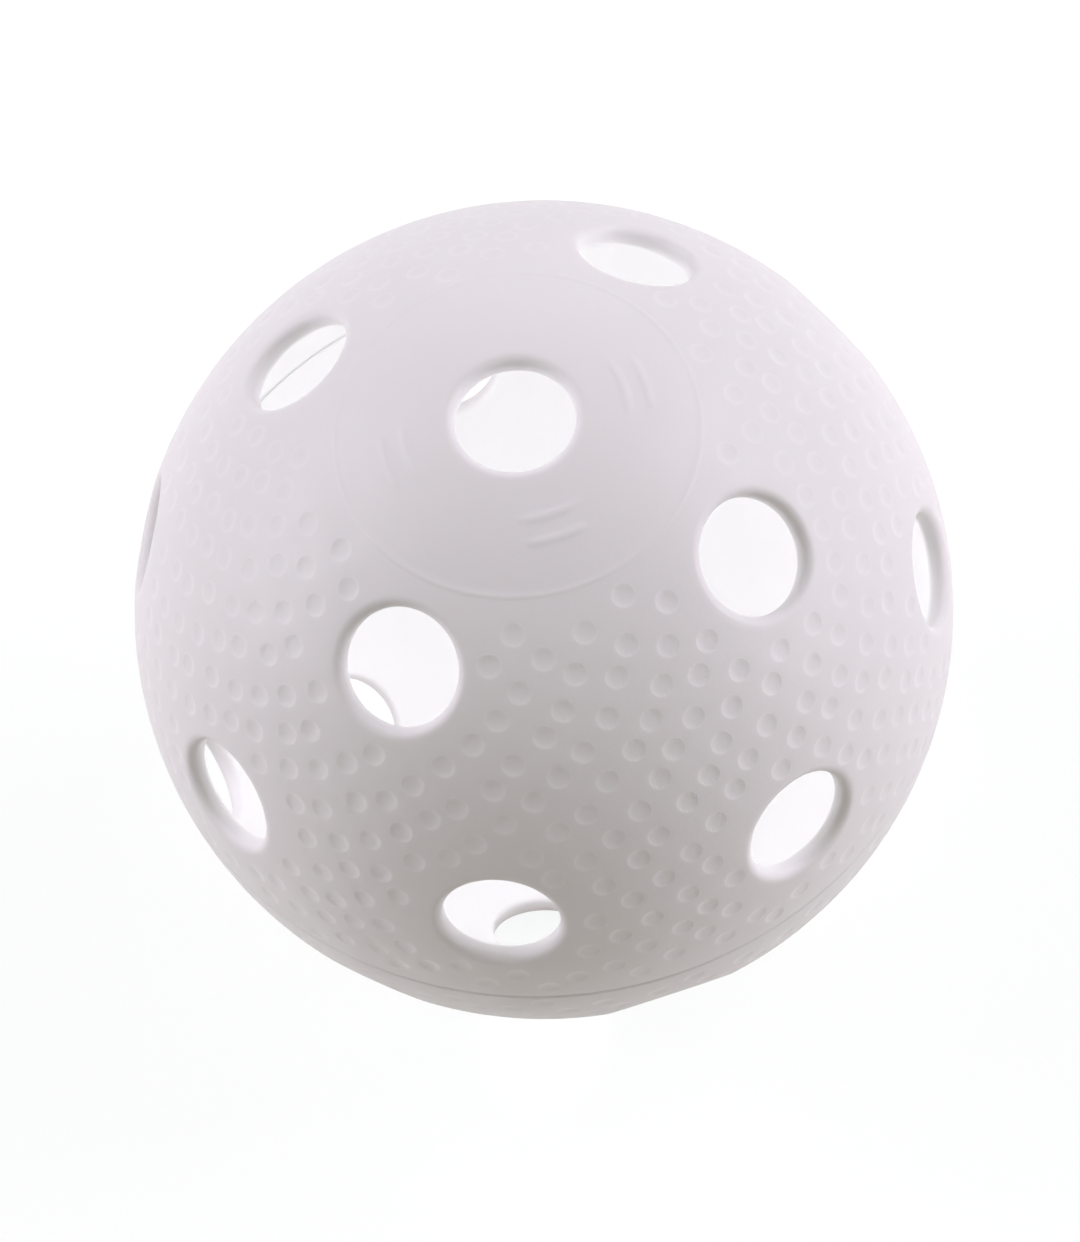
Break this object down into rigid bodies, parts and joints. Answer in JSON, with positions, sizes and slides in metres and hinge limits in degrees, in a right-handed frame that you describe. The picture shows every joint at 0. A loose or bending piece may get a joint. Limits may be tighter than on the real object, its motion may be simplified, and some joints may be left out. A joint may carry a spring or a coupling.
{
  "type": "floorball ball",
  "caption": "Light hollow plastic ball for indoor stick play, made of two dimpled half shells with round air holes, welded together rim to rim.",
  "frame": {"origin": "centre of the ball", "axes": "+Z along the pole axis, out through the upper half's pole hole; the weld seam lies in the XY plane"},
  "size_m": [0.072, 0.072, 0.071],
  "materials": {
    "upper_shell": "satin moulded polyethylene, slightly translucent",
    "lower_shell": "satin moulded polyethylene, slightly translucent"
  },
  "bodies": {
    "root": {"upper_half": "upper_shell", "lower_half": "lower_shell"}
  },
  "joints": []
}
